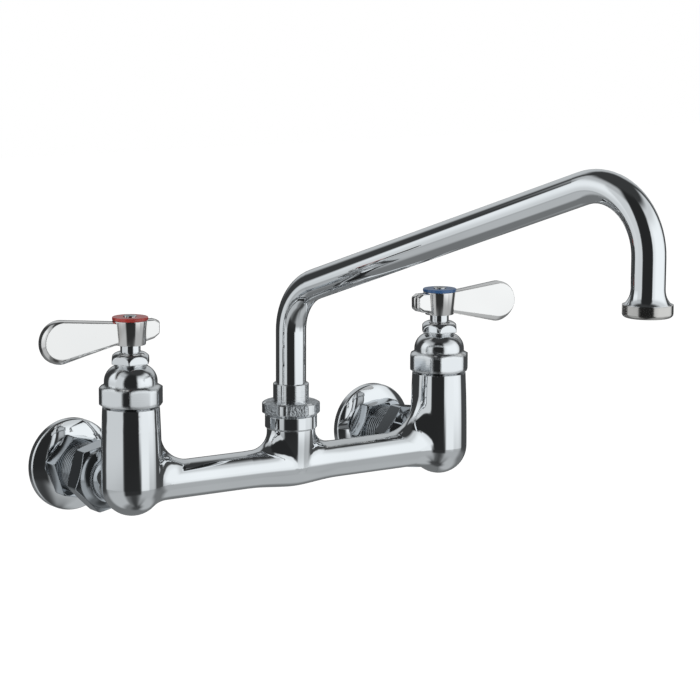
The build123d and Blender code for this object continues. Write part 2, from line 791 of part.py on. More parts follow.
def aerator_insert():
    """Plastic cup with a flange, and a plate of holes at its foot that straightens the stream."""
    low = outlet_height + insert_setback
    plate_top = low + insert_plate
    body = rod(insert_body_r, low, insert_top_z) + rod(insert_flange_r, insert_flange_low_z, washer_low_z)
    body -= rod(insert_body_r - insert_wall, plate_top, insert_top_z)
    centres = honeycomb(insert_hole_pitch, insert_hole_rings)
    return body - [Pos(x, y, 0) * rod(insert_hole_r, low, plate_top) for x, y in centres]


def aerator_screen():
    return rod(insert_body_r - slip_gap, insert_top_z, insert_top_z + screen_height)


def aerator_washer():
    return ring(insert_body_r + slip_gap, insert_flange_r, washer_low_z, spigot_end_z)


# ================================================================ assembly
def side_pieces(side):
    """Every piece of one valve and of its inlet."""
    lever_turn = 180 if side == "hot" else 0
    upright = {
        "seat_seal": seat_seal(),
        "fixed_disc": fixed_disc(),
        "moving_disc": moving_disc(),
        "cartridge_shell": cartridge_shell(),
        "bonnet_gasket": bonnet_gasket(),
        "stem": stem(),
        "stem_oring": stem_oring(),
        "bonnet": bonnet(),
        "gland_packing": gland_packing(),
        "packing_nut": packing_nut(),
        "handle": handle(lever_turn),
        "index_ring": index_ring(),
        "handle_screw": handle_screw(),
    }
    lying = {
        "coupling_nut": coupling_nut(side),
        "union_clip": union_clip(),
        "union_washer": union_washer(),
        "inlet_shank": inlet_shank(side),
        "wall_flange": wall_flange(),
    }
    placed = {side + "_" + name: on_valve(side, shape) for name, shape in upright.items()}
    placed.update({side + "_" + name: towards_wall(side, shape) for name, shape in lying.items()})
    return placed


def post_pieces():
    """The spout, what holds it in the body, and the aerator at its end."""
    pieces = {
        "spout_tube": spout_tube(),
        "spout_sleeve": spout_sleeve(),
        "spout_oring_lower": spout_oring(sleeve_groove_z[0]),
        "spout_oring_upper": spout_oring(sleeve_groove_z[1]),
        "spout_thrust_washer": thrust_washer(),
        "spout_nut": spout_nut(),
        "aerator_housing": on_outlet(aerator_housing()),
        "aerator_insert": on_outlet(aerator_insert()),
        "aerator_screen": on_outlet(aerator_screen()),
        "aerator_washer": on_outlet(aerator_washer()),
    }
    return {name: on_post(shape) for name, shape in pieces.items()}


def faucet():
    pieces = {"body_casting": body_casting()}
    for side in SIDES:
        pieces.update(side_pieces(side))
    pieces.update(post_pieces())
    return pieces


os.makedirs("parts", exist_ok=True)
for node, shape in faucet().items():
    export_step(shape, "parts/" + node + ".step")
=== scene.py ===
# %% [markdown]
# # A commercial wall faucet, dressed for the photograph
# The metalwork arrives as a packed set of rigid pieces: a cast body, two lever valves, wall unions and a
# swinging spout. This lesson gives each piece the finish of the real one, winds the threads of the wall
# unions and models the two levers again, with the rim and hub that the real ones have. Every length is in
# metres, in the frame the pieces came in: the wall is the plane Y = 0, Z points up and the spout reaches
# out towards -Y.

# %% Load the rigid pieces
import json
from math import atan2, cos, degrees, hypot, pi, radians, sin

import bmesh
import bpy
from mathutils import Matrix, Vector


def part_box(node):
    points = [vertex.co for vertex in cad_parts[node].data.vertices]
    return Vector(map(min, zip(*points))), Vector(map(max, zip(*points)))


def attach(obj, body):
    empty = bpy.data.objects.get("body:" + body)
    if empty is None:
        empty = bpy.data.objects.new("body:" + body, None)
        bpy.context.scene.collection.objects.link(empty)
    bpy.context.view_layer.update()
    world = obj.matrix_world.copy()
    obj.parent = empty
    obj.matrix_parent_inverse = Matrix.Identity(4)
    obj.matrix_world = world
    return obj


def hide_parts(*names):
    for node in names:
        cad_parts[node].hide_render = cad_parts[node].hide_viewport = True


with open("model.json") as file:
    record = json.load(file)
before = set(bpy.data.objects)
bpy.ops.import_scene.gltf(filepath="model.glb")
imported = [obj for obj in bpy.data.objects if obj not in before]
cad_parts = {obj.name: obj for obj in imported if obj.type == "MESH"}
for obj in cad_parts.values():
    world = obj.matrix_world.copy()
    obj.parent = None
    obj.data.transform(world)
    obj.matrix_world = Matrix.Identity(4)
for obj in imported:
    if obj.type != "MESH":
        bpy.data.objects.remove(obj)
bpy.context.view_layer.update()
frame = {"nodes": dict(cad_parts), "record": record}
nodes = frame["nodes"]
print("pieces from the workshop:", len(nodes))

# %% [markdown]
# ## The places everything hangs from
# A faucet is a set of turned and hexagonal pieces on a handful of axes. Naming those axes once keeps every
# later piece on them: the two valves stand 8 inches apart, 2 3/4 inches in front of the wall.

# %% Axes
MILLIMETRE = 0.001
INCH = 0.0254
VALVE_Y = -0.06985
VALVE_X = {"hot": -0.1016, "cold": 0.1016}
for side in VALVE_X:
    low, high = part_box(f"{side}_stem")
    print(side, "stem axis", round((low.x + high.x) / 2, 5), round((low.y + high.y) / 2, 5))

# %% [markdown]
# ## The camera
# The photograph was taken with a long lens from the left of the faucet and a little above it. These are the
# lens, place and tilt that put both valves and the post on their outlines in the picture at once.

# %% Camera
CAMERA_PLACE = (-0.77197, -1.25870, 0.29466)
CAMERA_TURN = radians(34.317)
CAMERA_DIP = radians(9.226)
CAMERA_ROLL = radians(0.226)
CAMERA_LENS = 133.461
camera_data = bpy.data.cameras.new("camera")
camera_data.sensor_width = 36.0
camera_data.lens = CAMERA_LENS
camera_data.clip_start = 0.01
camera = bpy.data.objects.new("camera", camera_data)
bpy.context.scene.collection.objects.link(camera)
aim = Matrix.Rotation(-CAMERA_TURN, 4, "Z") @ Matrix.Rotation(pi / 2 - CAMERA_DIP, 4, "X")
aim = aim @ Matrix.Rotation(CAMERA_ROLL, 4, "Z")
camera.matrix_world = Matrix.Translation(CAMERA_PLACE) @ aim
bpy.context.scene.camera = camera
print("camera looks along", tuple(round(v, 3) for v in -camera.matrix_world.col[2].xyz))

# %% [markdown]
# ## Node helpers
# Every finish below is a small web of nodes. A few helpers keep the webs readable: add puts in a node with
# its settings and inputs, maths joins numbers, ramp turns one range of a number into another, blank_group
# starts a node group with named sockets, and use_group puts such a group into a material.

# %% Helpers for single nodes
def add(tree, kind, inputs=None, **settings):
    node = tree.nodes.new("ShaderNode" + kind)
    for name, value in settings.items():
        setattr(node, name, value)
    for name, value in (inputs or {}).items():
        if isinstance(value, bpy.types.NodeSocket):
            tree.links.new(value, node.inputs[name])
        else:
            node.inputs[name].default_value = value
    return node


def maths(tree, operation, first, second=None, third=None):
    inputs = {i: v for i, v in enumerate((first, second, third)) if v is not None}
    return add(tree, "Math", inputs, operation=operation).outputs[0]


def ramp(tree, value, low, high, to_low=0.0, to_high=1.0, smooth=True):
    kind = "SMOOTHSTEP" if smooth else "LINEAR"
    node = add(tree, "MapRange", {0: value, 1: low, 2: high, 3: to_low, 4: to_high}, interpolation_type=kind)
    return node.outputs[0]


print("node helpers ready")

# %% Helpers for node groups
def blank_group(name, inputs, outputs):
    tree = bpy.data.node_groups.new(name, "ShaderNodeTree")
    for direction, sockets in (("INPUT", inputs), ("OUTPUT", outputs)):
        for label, socket in sockets.items():
            made = tree.interface.new_socket(label, in_out=direction, socket_type="NodeSocket" + socket[0])
            if direction == "INPUT":
                made.default_value = socket[1]
    start = tree.nodes.new("NodeGroupInput")
    end = tree.nodes.new("NodeGroupOutput")
    return tree, start, end


def use_group(tree, group, **inputs):
    node = tree.nodes.new("ShaderNodeGroup")
    node.node_tree = group
    for name, value in inputs.items():
        socket = node.inputs[name.replace("_", " ")]
        if isinstance(value, bpy.types.NodeSocket):
            tree.links.new(value, socket)
        else:
            socket.default_value = value
    return node


print("group helpers ready")

# %% [markdown]
# ## The studio
# Chrome has no colour of its own: what we see on it is the room. The room here is a small light tent. A
# white card stands on the left and another on the right, the dark gap between them is where the camera
# looks in, and a grey table lies below. The tent is a shell that only reflections can see, so the
# background stays white and coloured parts are lit by plain even light. Each card is a soft-edged patch in
# degrees: azimuth 0 faces the camera, and the right of the picture is positive.

# %% A soft-edged card as a node group
card, start, end = blank_group(
    "studio_card",
    {
        "Azimuth": ("Float", 0.0), "Elevation": ("Float", 0.0),
        "Middle": ("Float", 0.0), "Half Width": ("Float", 30.0),
        "Bottom": ("Float", 0.0), "Top": ("Float", 40.0),
        "Side Softness": ("Float", 4.0), "End Softness": ("Float", 6.0),
    },
    {"Mask": ("Float",)},
)
pins = start.outputs
turned = maths(card, "SUBTRACT", pins["Azimuth"], pins["Middle"])
around = maths(card, "ABSOLUTE", maths(card, "WRAP", turned, 180.0, -180.0))
beside = maths(card, "SUBTRACT", around, pins["Half Width"])
outside = maths(card, "DIVIDE", beside, pins["Side Softness"])
over = maths(card, "SUBTRACT", pins["Elevation"], pins["Top"])
under = maths(card, "SUBTRACT", pins["Bottom"], pins["Elevation"])
above = ramp(card, maths(card, "DIVIDE", over, pins["End Softness"]), -1.0, 1.0, 1.0, 0.0)
below = ramp(card, maths(card, "DIVIDE", under, pins["End Softness"]), -1.0, 1.0, 1.0, 0.0)
sides = ramp(card, outside, -1.0, 1.0, 1.0, 0.0)
ends = maths(card, "MULTIPLY", above, below)
card.links.new(maths(card, "MULTIPLY", sides, ends), end.inputs["Mask"])
print("card group:", len(card.nodes), "nodes")

# %% [markdown]
# The cards are laid one over the other: first the tent's top and the table, then the bright strips with one
# dark gap at the back, and last the dark gaps in front and at the left. Each card's tone is its brightness as
# the eye sees it on chrome, from 0 to 1. Chrome gives back a little less light than falls on it, so the light
# is turned up by that share. Where no card lies, the tent's own cloth shows, which is dark and a little
# lighter towards the bottom.

# %% The cards, from the first laid to the last
CHROME_SHARE = 0.87
CLOTH_BELOW, CLOTH_ABOVE = 0.27, 0.22
CARDS = [
    # tone, left, right, bottom, top, side softness, end softness
    (0.22, -180, 180, 62, 120, 1, 9),
    (0.44, -180, 180, -78, -18, 1, 7),
    (0.69, -100, -36, -61, -14, 9, 8),
    (0.56, 24, 116, -70, -14, 13, 10),
    (0.66, 34, 106, -50, -14, 10, 14),
    (0.68, 66, 168, -76, -44, 14, 9),
    (0.27, 112, 176, -18, 52, 8, 6),
    (0.70, 140, 220, 10, 52, 10, 8),
    (0.72, -180, -146, 18, 50, 8, 8),
    (0.69, -122, -42, 36, 60, 8, 7),
    (0.80, -104, -39, -14, 40, 3, 5),
    (0.91, -105, -70, 8, 40, 3, 14),
    (0.80, 30, 118, 30, 55, 6, 7),
    (0.88, 26, 116, -15, 38, 3, 8),
    (0.95, 40, 104, -12, 34, 9, 9),
    (0.92, 34, 74, -20, -6, 6, 7),
    (0.22, -128, -107, -18, 36, 5, 6),
    (0.24, -20, 20, -120, -10, 16, 8),
    (0.18, -36, 34, -32, -12, 6, 5),
    (0.15, -34.5, 24, -18, 66, 4, 7),
]


def seen_to_light(tone):
    """The light behind a tone of the picture, by the curve that sRGB screens use."""
    light = tone / 12.92 if tone <= 0.04045 else ((tone + 0.055) / 1.055) ** 2.4
    return light / CHROME_SHARE


tones = [row[0] for row in CARDS]
print(len(CARDS), "cards, tones from", min(tones), "to", max(tones))

# %% The tent's shell
TENT_MIDDLE = Vector((0.01, -0.20, 0.04))
TENT_RADIUS = 0.8
bpy.ops.object.select_all(action="DESELECT")
bpy.ops.mesh.primitive_uv_sphere_add(segments=64, ring_count=32, radius=TENT_RADIUS, location=TENT_MIDDLE)
tent = bpy.context.object
tent.name = "light_tent"
bpy.ops.object.transform_apply(location=True, rotation=False, scale=False)
for ray in ("camera", "diffuse", "transmission", "volume_scatter", "shadow"):
    setattr(tent, "visible_" + ray, False)
print("tent radius:", TENT_RADIUS)

# %% The cards on the shell
CARD_GLOW = (0.955, 1.0, 1.025, 1.0)
paper = bpy.data.materials.new("tent_cards")
paper.use_nodes = True
paper.cycles.emission_sampling = "NONE"
web = paper.node_tree
web.nodes.clear()
place = add(web, "TexCoord").outputs["Object"]
from_middle = add(web, "VectorMath", {0: place, 1: TENT_MIDDLE}, operation="SUBTRACT").outputs[0]
look = add(web, "VectorMath", {0: from_middle}, operation="NORMALIZE").outputs[0]
facing = add(web, "VectorRotate", {"Vector": look, "Angle": CAMERA_TURN}, rotation_type="Z_AXIS").outputs[0]
parts = add(web, "SeparateXYZ", {0: facing}).outputs
azimuth = maths(web, "DEGREES", maths(web, "ARCTAN2", parts[0], maths(web, "MULTIPLY", parts[1], -1.0)))
elevation = maths(web, "DEGREES", maths(web, "ARCSINE", parts[2]))
light = ramp(web, elevation, -90.0, -20.0, seen_to_light(CLOTH_BELOW), seen_to_light(CLOTH_ABOVE))
for tone, left, right, bottom, top, side, ends in CARDS:
    mask = use_group(
        web, card, Azimuth=azimuth, Elevation=elevation,
        Middle=(left + right) / 2, Half_Width=(right - left) / 2, Bottom=bottom, Top=top,
        Side_Softness=side, End_Softness=ends,
    ).outputs["Mask"]
    light = add(web, "Mix", {0: mask, 2: light, 3: seen_to_light(tone)}, data_type="FLOAT").outputs[0]
glow = add(web, "Emission", {"Color": CARD_GLOW, "Strength": light}).outputs[0]
surface = add(web, "OutputMaterial")
web.links.new(glow, surface.inputs["Surface"])
tent.data.materials.append(paper)
print("tent cards:", len(web.nodes), "nodes")

# %% [markdown]
# ## Plain light, a white background and a pale floor
# The world lights coloured surfaces evenly from all sides and is white to the camera and in reflections.
# One large soft lamp from above the camera gives a little direction. The floor is far enough below that its
# faint shadow stays out of the picture.

# %% The world
PLAIN_LIGHT = 0.72
world = bpy.data.worlds.new("studio_air")
bpy.context.scene.world = world
world.use_nodes = True
web = world.node_tree
web.nodes.clear()
path = add(web, "LightPath").outputs
seen = maths(web, "MAXIMUM", path["Is Camera Ray"], path["Is Glossy Ray"])
seen = maths(web, "MAXIMUM", seen, path["Is Transmission Ray"])
plain = ramp(web, seen, 0.0, 1.0, PLAIN_LIGHT, 1.0, smooth=False)
air = add(web, "Background", {"Color": (1, 1, 1, 1), "Strength": plain}).outputs[0]
surface = add(web, "OutputWorld")
web.links.new(air, surface.inputs["Surface"])
print("plain light:", PLAIN_LIGHT)

# %% The lamp
LAMP_PLACE = (-0.9, -1.3, 1.5)
LAMP_AIMS_AT = Vector((0, -0.15, 0.05))
LAMP_SIZE = 1.4
LAMP_POWER = 16.0
lamp_data = bpy.data.lights.new("soft_lamp", "AREA")
lamp_data.shape = "SQUARE"
lamp_data.size = LAMP_SIZE
lamp_data.energy = LAMP_POWER
lamp = bpy.data.objects.new("soft_lamp", lamp_data)
bpy.context.scene.collection.objects.link(lamp)
lamp.location = LAMP_PLACE
lamp.rotation_euler = (LAMP_AIMS_AT - lamp.location).to_track_quat("-Z", "Y").to_euler()
lamp.visible_glossy = False
lamp.visible_camera = False
print("lamp of", LAMP_POWER, "watts")

# %% The floor
FLOOR_SIZE = 8.0
FLOOR_HEIGHT = -0.22
FLOOR_GLOW = 1.15
FLOOR_GLOW_SHARE = 0.75
bpy.ops.object.select_all(action="DESELECT")
bpy.ops.mesh.primitive_plane_add(size=FLOOR_SIZE, location=(0, 0, FLOOR_HEIGHT))
floor = bpy.context.object
floor.name = "floor"
floor.visible_glossy = False
pale = bpy.data.materials.new("pale_floor")
pale.use_nodes = True
web = pale.node_tree
web.nodes.clear()
matte = add(web, "BsdfDiffuse", {"Color": (0.97, 0.97, 0.97, 1)}).outputs[0]
white = add(web, "Emission", {"Color": (1, 1, 1, 1), "Strength": FLOOR_GLOW}).outputs[0]
path = add(web, "LightPath").outputs
share = maths(web, "MULTIPLY", path["Is Camera Ray"], FLOOR_GLOW_SHARE)
blend = add(web, "MixShader", {0: share, 1: matte, 2: white}).outputs[0]
surface = add(web, "OutputMaterial")
web.links.new(blend, surface.inputs["Surface"])
floor.data.materials.append(pale)
bpy.context.scene.view_settings.view_transform = "Standard"
print("floor at", FLOOR_HEIGHT)

# %% [markdown]
# ## Shared surface effects
# Real plating is never perfectly even. Three small groups carry what the metals here share: a haze that
# makes the gloss wander a little, the slow swell of a buffed casting, and the fine rings a lathe leaves.
# The mouldings further on use the first two as well.

# %% Polish haze
haze, start, end = blank_group(
    "polish_haze",
    {
        "Vector": ("Vector", (0, 0, 0)), "Glossy": ("Float", 0.03),
        "Hazy": ("Float", 0.09), "Scale": ("Float", 60.0),
    },
    {"Roughness": ("Float",)},
)
pins = start.outputs
cloud = add(haze, "TexNoise", {"Vector": pins["Vector"], "Scale": pins["Scale"], "Detail": 3.0}).outputs[0]
veil = ramp(haze, cloud, 0.38, 0.72)
spread = maths(haze, "SUBTRACT", pins["Hazy"], pins["Glossy"])
haze.links.new(maths(haze, "MULTIPLY_ADD", veil, spread, pins["Glossy"]), end.inputs["Roughness"])
print("polish haze:", len(haze.nodes), "nodes")

# %% Swell of a buffed casting
PEEL_FINER = 14.0
swell, start, end = blank_group(
    "buffed_swell",
    {
        "Vector": ("Vector", (0, 0, 0)), "Swell": ("Float", 0.5),
        "Peel": ("Float", 0.1), "Scale": ("Float", 45.0),
    },
    {"Height": ("Float",)},
)
pins = start.outputs
slow = add(swell, "TexNoise", {"Vector": pins["Vector"], "Scale": pins["Scale"], "Detail": 1.0}).outputs[0]
quick_scale = maths(swell, "MULTIPLY", pins["Scale"], PEEL_FINER)
fine = add(swell, "TexNoise", {"Vector": pins["Vector"], "Scale": quick_scale, "Detail": 2.0}).outputs[0]
height = maths(swell, "MULTIPLY_ADD", fine, pins["Peel"], maths(swell, "MULTIPLY", slow, pins["Swell"]))
swell.links.new(height, end.inputs["Height"])
print("buffed swell:", len(swell.nodes), "nodes")

# %% Lathe rings
rings, start, end = blank_group(
    "lathe_rings",
    {"Along": ("Float", 0.0), "Spacing": ("Float", 0.0004), "Depth": ("Float", 0.2)},
    {"Height": ("Float",)},
)
pins = start.outputs
count = maths(rings, "DIVIDE", pins["Along"], pins["Spacing"])
groove = add(rings, "TexNoise", {"W": count, "Scale": 1.0, "Detail": 2.0}, noise_dimensions="1D").outputs[0]
rings.links.new(maths(rings, "MULTIPLY", groove, pins["Depth"]), end.inputs["Height"])
print("lathe rings:", len(rings.nodes), "nodes")

# %% [markdown]
# ## The metals
# All the plated pieces share one recipe with different numbers: how bright the plate is, how its gloss
# wanders, how much the surface swells, and along which axis a lathe has left its rings. Sharp CAD edges are
# rounded for the light alone, mostly by a few tenths of a millimetre, because a polisher's wheel always
# takes the edge off. The thread's crests keep theirs.

# %% One recipe for plated metal
ALONG = {"x": 0, "y": 1, "z": 2}
HAZE_PATCHES = 60.0
TINT_PATCHES = 22.0
TINT_SHADE = 0.965
PLATE_BUMP = 0.00006
finish = {}


def plated(name, colour, glossy, hazy, swelling=0.3, lathe=None, depth=0.2, edge=0.00035):
    material = bpy.data.materials.new(name)
    material.use_nodes = True
    web = material.node_tree
    web.nodes.clear()
    place = add(web, "TexCoord").outputs["Object"]
    gloss = use_group(web, haze, Vector=place, Glossy=glossy, Hazy=hazy, Scale=HAZE_PATCHES).outputs[0]
    height = use_group(web, swell, Vector=place, Swell=swelling, Peel=0.0).outputs[0]
    if lathe:
        along = add(web, "SeparateXYZ", {0: place}).outputs[ALONG[lathe]]
        marks = use_group(web, rings, Along=along, Depth=depth).outputs[0]
        height = maths(web, "ADD", height, marks)
    bump = add(web, "Bump", {"Height": height, "Distance": PLATE_BUMP})
    if edge:
        rounded = add(web, "Bevel", {"Radius": edge}, samples=6).outputs[0]
        web.links.new(rounded, bump.inputs["Normal"])
    tint = add(web, "TexNoise", {"Vector": place, "Scale": TINT_PATCHES, "Detail": 1.0}).outputs[0]
    shade = [c * TINT_SHADE for c in colour] + [1.0]
    blend = {0: ramp(web, tint, 0.35, 0.65), 6: shade, 7: list(colour) + [1.0]}
    mix = add(web, "Mix", blend, data_type="RGBA")
    skin = add(web, "BsdfPrincipled", {
        "Base Color": mix.outputs[2], "Metallic": 1.0, "Roughness": gloss, "Normal": bump.outputs[0],
    })
    surface = add(web, "OutputMaterial")
    web.links.new(skin.outputs[0], surface.inputs["Surface"])
    finish[name] = material


print("recipe for plated metal ready")

# %% The metals, one by one
PLATE = (0.86, 0.87, 0.88)
MIRROR = {"glossy": 0.01, "hazy": 0.035}
plated("cast_chrome", PLATE, **MIRROR, swelling=0.35)
plated("bonnet_chrome", PLATE, **MIRROR, lathe="z", depth=0.05, edge=0.0024)
plated("turned_chrome", PLATE, **MIRROR, lathe="z", depth=0.05, edge=0.0008)
plated("lever_chrome", (0.93, 0.905, 0.885), 0.015, 0.04, swelling=0.3, edge=0.0006)
plated("stem_chrome", PLATE, 0.02, 0.05, lathe="z", depth=0.1)
# The unions' plate is darker than the rest: painted shade, for the dark they sit in behind the barrels.
plated("union_chrome", (0.57, 0.60, 0.63), 0.02, 0.06, lathe="y", depth=0.1, edge=0.0007)
# The thread's plate is darker still: painted shade, for the dark its grooves show.
plated("thread_chrome", (0.36, 0.38, 0.40), 0.06, 0.16, edge=None)
plated("flange_chrome", PLATE, **MIRROR, swelling=0.3, edge=0.0006)
plated("spout_chrome", (0.87, 0.88, 0.89), 0.01, 0.03, swelling=0.2)
plated("sleeve_chrome", (0.82, 0.83, 0.84), 0.08, 0.16, lathe="z", depth=0.5)
plated("aerator_nickel", (0.62, 0.595, 0.57), 0.10, 0.18, lathe="z", depth=0.4)
plated("cartridge_brass", (0.78, 0.62, 0.32), 0.18, 0.32, lathe="z", depth=0.6)
plated("screw_steel", (0.72, 0.72, 0.72), 0.10, 0.22)
plated("clip_steel", (0.66, 0.66, 0.66), 0.14, 0.28)
plated("screen_steel", (0.60, 0.60, 0.60), 0.18, 0.32)
print("metals:", sorted(finish))

# %% [markdown]
# ## Plastics, rubber and ceramic
# The index discs are glossy coloured plastic with a faint moulded grain, the seals are matt rubber dusted
# with a little talc, and the valve discs are fired ceramic, lapped flat.

# %% One recipe for everything that isn't metal
MOULD_GRAIN = 0.3
MOULD_FINENESS = 500.0
MOULD_PATCHES = MOULD_FINENESS / 6
MOULD_HAZE_PATCHES = 120.0
MOULD_BUMP = 0.00008


def moulded(name, colour, worn, glossy, hazy, coat=0.0):
    material = bpy.data.materials.new(name)
    material.use_nodes = True
    web = material.node_tree
    web.nodes.clear()
    place = add(web, "TexCoord").outputs["Object"]
    gloss = use_group(web, haze, Vector=place, Glossy=glossy, Hazy=hazy, Scale=MOULD_HAZE_PATCHES).outputs[0]
    height = use_group(
        web, swell, Vector=place, Swell=MOULD_GRAIN, Peel=MOULD_GRAIN, Scale=MOULD_FINENESS / PEEL_FINER,
    ).outputs[0]
    bump = add(web, "Bump", {"Height": height, "Distance": MOULD_BUMP}).outputs[0]
    patch = add(web, "TexNoise", {"Vector": place, "Scale": MOULD_PATCHES, "Detail": 4.0}).outputs[0]
    blend = {0: ramp(web, patch, 0.42, 0.78), 6: list(colour) + [1.0], 7: list(worn) + [1.0]}
    mix = add(web, "Mix", blend, data_type="RGBA")
    skin = add(web, "BsdfPrincipled", {
        "Base Color": mix.outputs[2], "Roughness": gloss, "Normal": bump, "Coat Weight": coat,
    })
    surface = add(web, "OutputMaterial")
    web.links.new(skin.outputs[0], surface.inputs["Surface"])
    finish[name] = material


print("recipe for mouldings ready")

# %% Index rings, discs, seals and plastics
moulded("index_red", (0.36, 0.033, 0.024), (0.25, 0.026, 0.021), 0.18, 0.32, coat=0.3)
moulded("index_blue", (0.032, 0.092, 0.22), (0.02, 0.052, 0.125), 0.18, 0.32, coat=0.3)
moulded("ceramic_disc", (0.93, 0.92, 0.88), (0.86, 0.85, 0.80), 0.12, 0.24)
moulded("valve_rubber", (0.04, 0.04, 0.04), (0.075, 0.072, 0.07), 0.55, 0.75)
moulded("washer_rubber", (0.10, 0.10, 0.10), (0.15, 0.145, 0.14), 0.6, 0.8)
moulded("packing_plastic", (0.90, 0.90, 0.88), (0.84, 0.84, 0.81), 0.35, 0.55)
moulded("insert_plastic", (0.82, 0.82, 0.80), (0.74, 0.74, 0.72), 0.35, 0.55)
print("all finishes:", len(finish))

# %% [markdown]
# ## The spout nut
# The nut under the spout is a forging: its six flats keep the grain of the die under the plate, and only the
# corners and ends, which a lathe has turned, are bright. A mask that knows how far round the post a point
# lies tells the two apart, so one material can be satin on the flats and polished at the corners.

# %% Hexagon corners as a mask
corners, start, end = blank_group(
    "hexagon_corners",
    {
        "Vector": ("Vector", (0, 0, 0)), "Turn": ("Float", 0.0),
        "Half Width": ("Float", 7.0), "Softness": ("Float", 1.5),
    },
    {"Mask": ("Float",)},
)
pins = start.outputs
spot = add(corners, "SeparateXYZ", {0: pins["Vector"]}).outputs
angle = maths(corners, "DEGREES", maths(corners, "ARCTAN2", spot[1], spot[0]))
turned = maths(corners, "SUBTRACT", angle, pins["Turn"])
off_corner = maths(corners, "ABSOLUTE", maths(corners, "WRAP", turned, 30.0, -30.0))
beside = maths(corners, "SUBTRACT", off_corner, pins["Half Width"])
past = maths(corners, "DIVIDE", beside, pins["Softness"])
corners.links.new(ramp(corners, past, -1.0, 1.0, 1.0, 0.0), end.inputs["Mask"])
print("corner mask:", len(corners.nodes), "nodes")

# %% Forged flats, turned corners
SPOUT_NUT_TURN = -139.0
FLAT_TONE, CORNER_TONE = (0.60, 0.62, 0.64, 1), (0.84, 0.85, 0.86, 1)
FLAT_ROUGHNESS, CORNER_ROUGHNESS = 0.34, 0.08
CORNER_HALF_WIDTH, CORNER_FADE = 8.0, 2.0  # degrees
DIE_GRAIN, DIE_PITS = 900.0, 1600.0
PITS_SHARE = 0.6
DIE_BUMP = 0.00035
NUT_EDGE = 0.0005
forged = bpy.data.materials.new("knurled_chrome")
forged.use_nodes = True
web = forged.node_tree
web.nodes.clear()
place = add(web, "TexCoord").outputs["Object"]
on_post = add(web, "Mapping", {"Vector": place, "Location": (0, -VALVE_Y, 0)}).outputs[0]
bright = use_group(
    web, corners, Vector=on_post, Turn=SPOUT_NUT_TURN, Half_Width=CORNER_HALF_WIDTH, Softness=CORNER_FADE,
).outputs[0]
cells = add(web, "TexVoronoi", {"Vector": place, "Scale": DIE_GRAIN}, feature="SMOOTH_F1")
pits = add(web, "TexNoise", {"Vector": place, "Scale": DIE_PITS, "Detail": 2.0}).outputs[0]
rough_height = maths(web, "MULTIPLY_ADD", pits, PITS_SHARE, cells.outputs["Distance"])
height = maths(web, "MULTIPLY", rough_height, maths(web, "SUBTRACT", 1.0, bright))
rounded = add(web, "Bevel", {"Radius": NUT_EDGE}, samples=6).outputs[0]
bump = add(web, "Bump", {"Height": height, "Distance": DIE_BUMP, "Normal": rounded}).outputs[0]
gloss = ramp(web, bright, 0.0, 1.0, FLAT_ROUGHNESS, CORNER_ROUGHNESS)
tone = add(web, "Mix", {0: bright, 6: FLAT_TONE, 7: CORNER_TONE}, data_type="RGBA").outputs[2]
skin = add(web, "BsdfPrincipled", {
    "Base Color": tone, "Metallic": 1.0, "Roughness": gloss, "Normal": bump,
})
surface = add(web, "OutputMaterial")
web.links.new(skin.outputs[0], surface.inputs["Surface"])
finish["knurled_chrome"] = forged
print("spout nut: satin flats, bright corners at", SPOUT_NUT_TURN, "degrees")

# %% [markdown]
# ## Dress the pieces
# Each rigid piece already knows the name of its finish, so dressing is one loop. Two kinds of piece differ a
# little from the rest of their finish: the bonnets are soft forgings with wide rounding at the hexagon's
# corners, and the unions at the back got less time on the polishing wheel and are a little rougher; their
# darker plate is painted shade, for the dark they sit in behind the barrels.

# %% Give each piece its finish
slot_of = {part["node"]: part["material_slot"] for part in frame["record"]["subparts"]}
OWN_FINISH = {"bonnet": "bonnet_chrome", "coupling_nut": "union_chrome", "inlet_shank": "union_chrome"}
for name, piece in nodes.items():
    kind = name.split("_", 1)[1]
    piece.data.materials.clear()
    piece.data.materials.append(finish[OWN_FINISH.get(kind, slot_of[name])])
print("dressed:", len(slot_of))

# %% [markdown]
# ## The union threads
# Between the coupling nut and the shank's hexagon a few turns of pipe thread show, 14 to the inch. The
# workshop's shank is smooth there, because cutting a helix would only slow the solid down. Here the crests
# are wound on it: a screw modifier sweeps one small triangle along, with its foot sunk a little into the
# shank. The triangle is stretched along the pipe until its foot is about as wide as the pitch, and the last
# turn ends in the hexagon.

# %% Helpers that finish a new piece
NEARLY = 1e-6


def keep_place_in_mesh(piece):
    bpy.ops.object.select_all(action="DESELECT")
    piece.select_set(True)
    bpy.context.view_layer.objects.active = piece
    bpy.ops.object.transform_apply(location=True, rotation=True, scale=True)


def finish_modifier(piece, kind, **settings):
    modifier = piece.modifiers.new(kind.lower(), kind)
    for name, value in settings.items():
        setattr(modifier, name, value)
    bpy.context.view_layer.objects.active = piece
    bpy.ops.object.modifier_apply(modifier=modifier.name)


def outward_normals(piece):
    bpy.context.view_layer.objects.active = piece
    bpy.ops.object.mode_set(mode="EDIT")
    bpy.ops.mesh.select_all(action="SELECT")
    bpy.ops.mesh.remove_doubles(threshold=NEARLY)
    bpy.ops.mesh.normals_make_consistent(inside=False)
    bpy.ops.object.mode_set(mode="OBJECT")


def reach(piece, axis, start=0.0):
    """How far a piece goes along one axis from a start, in millimetres."""
    places = [(vert.co[ALONG[axis]] - start) / MILLIMETRE for vert in piece.data.vertices]
    return round(min(places), 2), round(max(places), 2)


print("helpers for new pieces ready")

